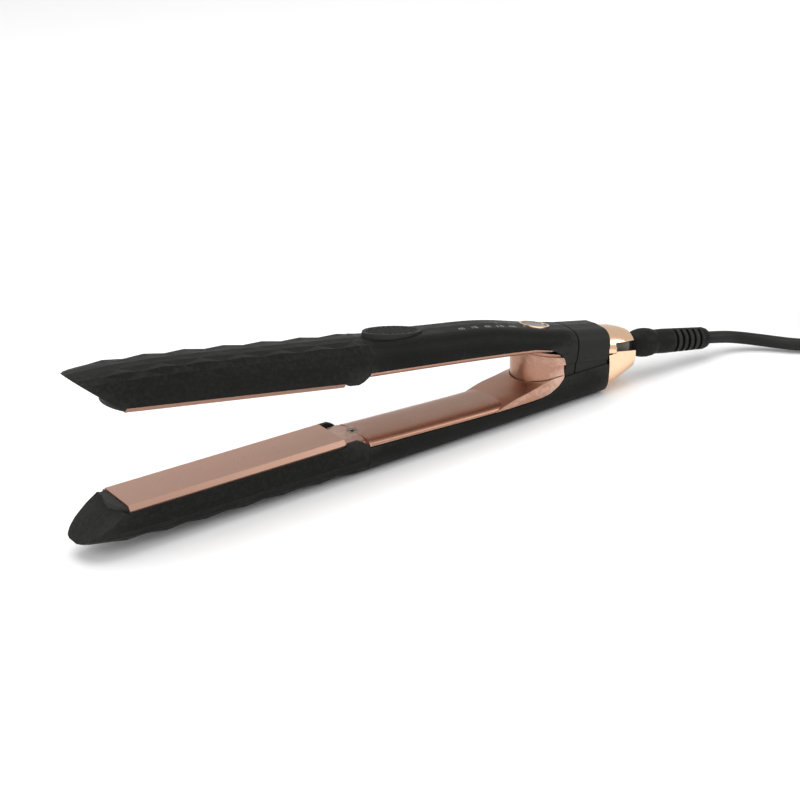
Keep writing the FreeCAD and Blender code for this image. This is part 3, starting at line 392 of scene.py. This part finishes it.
def moulded(name, colour, rough, grain=2400):
    """Plain moulded plastic or rubber for the pieces inside."""
    g = Graph(name)
    darker = tuple(c * 0.7 for c in colour)
    lighter = tuple(min(1.0, c * 1.5 + 0.02) for c in colour)
    scuffed(g, colour, darker, lighter, rough, rough + 0.15, 90)
    g.bump(g.noise(grain, 3), 0.12, 0.00005)
    return g.material


def frosted(name, colour):
    g = Graph(name)
    g.link(g.mix(g.ranged(g.noise(900, 3), 0, 1), tuple(c * 0.85 for c in colour), colour),
           g.shader.inputs["Base Color"])
    g.link(g.ranged(g.noise(1500, 3), 0.28, 0.45), g.shader.inputs["Roughness"])
    g.bump(g.noise(2600, 2), 0.08, 0.00003)
    g.set(Subsurface_Weight=0.25, Subsurface_Scale=0.001)
    return g.material


def woven_tie():
    g = Graph("woven_tie")
    warp = g.node("ShaderNodeTexWave", wave_type="BANDS", bands_direction="X")
    weft = g.node("ShaderNodeTexWave", wave_type="BANDS", bands_direction="Z")
    for wave in (warp, weft):
        wave.inputs["Scale"].default_value = 420
        wave.inputs["Distortion"].default_value = 0.4
        g.link(g.coords, wave.inputs["Vector"])
    threads = g.maths("MULTIPLY", warp.outputs["Fac"], weft.outputs["Fac"])
    g.link(g.mix(threads, (0.008, 0.008, 0.008), (0.030, 0.030, 0.030)), g.shader.inputs["Base Color"])
    g.link(g.ranged(g.noise(300, 3), 0.7, 0.9), g.shader.inputs["Roughness"])
    g.bump(threads, 0.5, 0.0002)
    g.set(Sheen_Weight=0.3)
    return g.material


def label_ink():
    g = Graph("label_ink")
    g.link(g.mix(g.ranged(g.noise(2200, 4), 0, 1, 0.3, 0.6), (0.12, 0.12, 0.115), (0.30, 0.30, 0.29)),
           g.shader.inputs["Base Color"])
    g.link(g.ranged(g.noise(1200, 3), 0.45, 0.6), g.shader.inputs["Roughness"])
    g.bump(g.noise(3000, 2), 0.05, 0.00002)
    return g.material


MATERIALS = {
    "black_shell": soft_touch_black(),
    "tip_plastic": tip_black(),
    "rose_metal": rose_paint(),
    "plate_ceramic": plate_coating(),
    "rose_chrome": rose_plating(),
    "button_black": button_gloss(),
    "black_screw": screw_black(),
    "relief_rubber": relief_rubber(),
    "cord_rubber": lead_rubber(),
    "plug_plastic": plug_plastic(),
    "plug_brass": brushed_metal("plug_brass", (0.80, 0.66, 0.42), 0.16, (1, 0.1, 1)),
    "steel": brushed_metal("steel", (0.55, 0.55, 0.56), 0.24),
    "heater_ceramic": moulded("heater_ceramic", (0.70, 0.67, 0.62), 0.55),
    "carrier_plastic": moulded("carrier_plastic", (0.075, 0.070, 0.064), 0.5),
    "silicone": moulded("silicone", (0.50, 0.13, 0.08), 0.45, 1600),
    "lead_insulation": moulded("lead_insulation", (0.58, 0.56, 0.52), 0.45),
    "circuit_board": moulded("circuit_board", (0.02, 0.13, 0.05), 0.3),
    "switch_plastic": moulded("switch_plastic", (0.05, 0.05, 0.05), 0.4),
    "led": frosted("led", (0.82, 0.76, 0.62)),
    "light_pipe": frosted("light_pipe", (0.50, 0.50, 0.47)),
    "tie_fabric": woven_tie(),
}
INK = label_ink()


def dress(piece, material):
    piece.data.materials.clear()
    piece.data.materials.append(material)


# ------------------------------------------------------------------ CAD nodes with better surfaces
SLOT_OF = {entry["node"]: entry["material_slot"] for entry in frame["record"]["subparts"]}
EDGE_BEVEL = {"upper_shell": 0.25, "lower_shell": 0.25, "hinge_cover": 0.3,
              "lower_collar": 0.25, "upper_collar": 0.25,
              "lower_plate": 0.35, "upper_plate": 0.35, "lower_tip_cap": 0.6, "upper_tip_cap": 0.6,
              "upper_inner_cover": 0.2, "lower_inner_cover": 0.2, "button_bezel": 0.15, "power_button": 0.3,
              "strain_relief": 0.25, "plug_body": 0.8, "cord_tie": 0.2}


def finish_cad_nodes():
    for name, piece in NODES.items():
        dress(piece, MATERIALS[SLOT_OF[name]])
        if name in EDGE_BEVEL:
            bevel = piece.modifiers.new("soft_edges", "BEVEL")
            bevel.width = EDGE_BEVEL[name] * MM
            bevel.segments = 2
            bevel.limit_method = "ANGLE"
            bevel.angle_limit = math.radians(38)
            bevel.use_clamp_overlap = True
            bevel.harden_normals = False


finish_cad_nodes()
dress(LEAD, MATERIALS["cord_rubber"])
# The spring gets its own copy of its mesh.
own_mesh(NODES["opening_spring"])


# ------------------------------------------------------------------ grip, numbers and power mark
def add_piece(name, vertices, faces, material, body="upper_arm"):
    mesh = bpy.data.meshes.new(name)
    mesh.from_pydata(vertices, [], faces)
    mesh.validate()
    mesh.update()
    piece = bpy.data.objects.new(name, mesh)
    bpy.context.scene.collection.objects.link(piece)
    dress(piece, material)
    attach(piece, body)


def add_block(vertices, faces, corners):
    """Closed block from four lower corners and the four above them; skipped off the surface."""
    if None in corners:
        return
    first = len(vertices)
    vertices += corners
    faces.append([first + k for k in (3, 2, 1, 0)])
    faces.append([first + 4 + k for k in range(4)])
    faces += [[first + k, first + (k + 1) % 4, first + 4 + (k + 1) % 4, first + 4 + k] for k in range(4)]


GRIP_CENTRE, GRIP_HALF_LENGTH, GRIP_HALF_WIDTH = -126.2 * MM, 14.2 * MM, 5.4 * MM
STUD_LENGTH, STUD_WIDTH, STUD_HEIGHT = 2.9 * MM, 2.0 * MM, 0.42 * MM


def add_grip():
    """Blunt diamond studs in crossed rows over the thumb rest."""
    vertices, faces = [], []
    for i in range(-12, 13):
        for j in range(-7, 8):
            if (i + j) % 2:
                continue
            along, across = i * STUD_LENGTH / 2, j * STUD_WIDTH / 2
            if (along / GRIP_HALF_LENGTH) ** 2 + (across / GRIP_HALF_WIDTH) ** 2 > 1:
                continue
            corners = []
            for scale, lift in ((0.92, -0.1 * MM), (0.45, STUD_HEIGHT)):
                for dx, dy in ((1, 0), (0, 1), (-1, 0), (0, -1)):
                    x = GRIP_CENTRE + along + dx * scale * STUD_LENGTH / 2
                    y = across + dy * scale * STUD_WIDTH / 2
                    corners.append(on_surface("thumb_rest", x, y, lift))
            add_block(vertices, faces, corners)
    add_piece("thumb_rest_grip", vertices, faces, MATERIALS["black_shell"])


SEGMENTS = {"a": ((0, 2), (1, 2)), "b": ((1, 2), (1, 1)), "c": ((1, 1), (1, 0)), "d": ((0, 0), (1, 0)),
            "e": ((0, 1), (0, 0)), "f": ((0, 2), (0, 1)), "g": ((0, 1), (1, 1))}
DIGITS = {"0": "abcdef", "1": "bc", "2": "abged", "3": "abgcd", "5": "afgcd", "7": "abc", "9": "abcdfg"}


def add_ribbons(name, node, strokes, width, body="upper_arm"):
    """Printed strokes: thin raised strips that follow the node's surface."""
    vertices, faces = [], []
    for (x0, y0), (x1, y1) in strokes:
        run = Vector((x1 - x0, y1 - y0))
        side = Vector((-run.y, run.x)).normalized() * width / 2
        corners = []
        for lift in (-0.03 * MM, 0.05 * MM):
            corners += [on_surface(node, x + k * side.x, y + k * side.y, lift)
                        for x, y, k in ((x0, y0, -1), (x1, y1, -1), (x1, y1, 1), (x0, y0, 1))]
        add_block(vertices, faces, corners)
    add_piece(name, vertices, faces, INK, body)


def add_numbers():
    """One plain number beside each indicator window, on the near side of the crown."""
    strokes = []
    for k, number in enumerate(("150", "170", "190", "210", "230")):
        left = (-90.0 + 7.7 * k - 1.9) * MM
        for place, digit in enumerate(number):
            for segment in DIGITS[digit]:
                strokes.append([(left + (1.4 * place + 0.9 * x) * MM, (-5.4 + 0.9 * y) * MM)
                                for x, y in SEGMENTS[segment]])
    add_ribbons("indicator_numbers", "upper_shell", strokes, 0.26 * MM)


def add_power_mark():
    """Open ring with a bar through its gap, on the button."""
    centre, radius = -42.5 * MM, 1.5 * MM
    ring = [(centre + radius * math.cos(math.radians(a)), radius * math.sin(math.radians(a)))
            for a in range(120, 421, 15)]
    strokes = list(zip(ring, ring[1:]))
    strokes.append(((centre, 0.4 * MM), (centre, 2.1 * MM)))
    add_ribbons("power_mark", "power_button", strokes, 0.3 * MM, "button")


add_grip()
add_numbers()
add_power_mark()


# ------------------------------------------------------------------ floor and light
def add_floor():
    mesh = bpy.data.meshes.new("floor")
    size = 6.0
    corners = [(-size, -size, 0), (size, -size, 0), (size, size, 0), (-size, size, 0)]
    mesh.from_pydata(corners, [], [(0, 1, 2, 3)])
    floor = bpy.data.objects.new("floor", mesh)
    bpy.context.scene.collection.objects.link(floor)
    floor.location.z = -0.0006
    g = Graph("floor_paper")
    g.link(g.mix(g.noise(3, 2), (0.90, 0.90, 0.90), (0.93, 0.93, 0.93)), g.shader.inputs["Base Color"])
    g.set(Roughness=0.9, Specular_IOR_Level=0.1)
    dress(floor, g.material)


def add_light(name, location, target, width, height, power, colour=(1, 1, 1)):
    data = bpy.data.lights.new(name, "AREA")
    data.shape = "RECTANGLE"
    data.size = width
    data.size_y = height
    data.energy = power
    data.color = colour
    lamp = bpy.data.objects.new(name, data)
    bpy.context.scene.collection.objects.link(lamp)
    lamp.location = location
    lamp.rotation_euler = (Vector(target) - Vector(location)).to_track_quat("-Z", "Y").to_euler()


def add_studio():
    bpy.context.scene.view_settings.view_transform = "Standard"
    world = bpy.data.worlds.new("studio")
    world.use_nodes = True
    background = world.node_tree.nodes["Background"]
    background.inputs["Color"].default_value = (1, 1, 1, 1)
    background.inputs["Strength"].default_value = 0.66
    bpy.context.scene.world = world
    add_light("overhead", (-0.1, 0.2, 1.4), (0, 0, 0), 1.6, 1.2, 14)
    add_light("left_box", (-1.3, -0.5, 0.8), (0, 0, 0.03), 0.8, 0.8, 7)
    add_light("right_box", (1.1, -0.9, 0.7), (0.05, 0, 0.03), 0.6, 0.8, 5)


add_floor()
add_studio()
